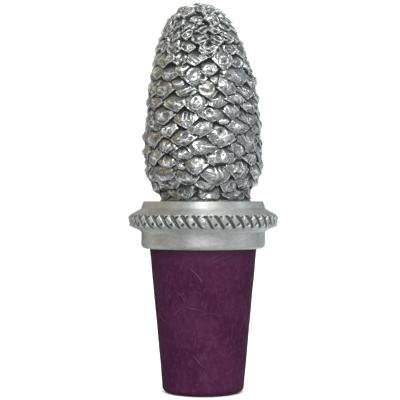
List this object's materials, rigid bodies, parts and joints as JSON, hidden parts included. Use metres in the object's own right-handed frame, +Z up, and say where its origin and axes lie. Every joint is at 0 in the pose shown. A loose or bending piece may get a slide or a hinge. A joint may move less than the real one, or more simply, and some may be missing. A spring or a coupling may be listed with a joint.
{
  "type": "pine cone bottle stopper",
  "caption": "Bottle stopper: a cast metal pine cone finial on a turned collar with a rope-pattern band, over a tapered rubber plug that seals the bottle's mouth.",
  "frame": {"origin": "centre of the plug's flat end, on which the stopper stands", "axes": "+Z up the stopper's axis, from the plug's flat end to the pine cone's tip; the picture looks along +Y, with +X to its right"},
  "size_m": [0.031, 0.031, 0.0818],
  "materials": {
    "cast_pewter": "satin",
    "brushed_pewter": "satin",
    "plated_steel": "gloss",
    "plum_rubber": "satin"
  },
  "bodies": {
    "root": {"pinecone_finial": "cast_pewter", "roped_collar": "brushed_pewter", "threaded_stud": "plated_steel", "stopper_plug": "plum_rubber"}
  },
  "joints": []
}
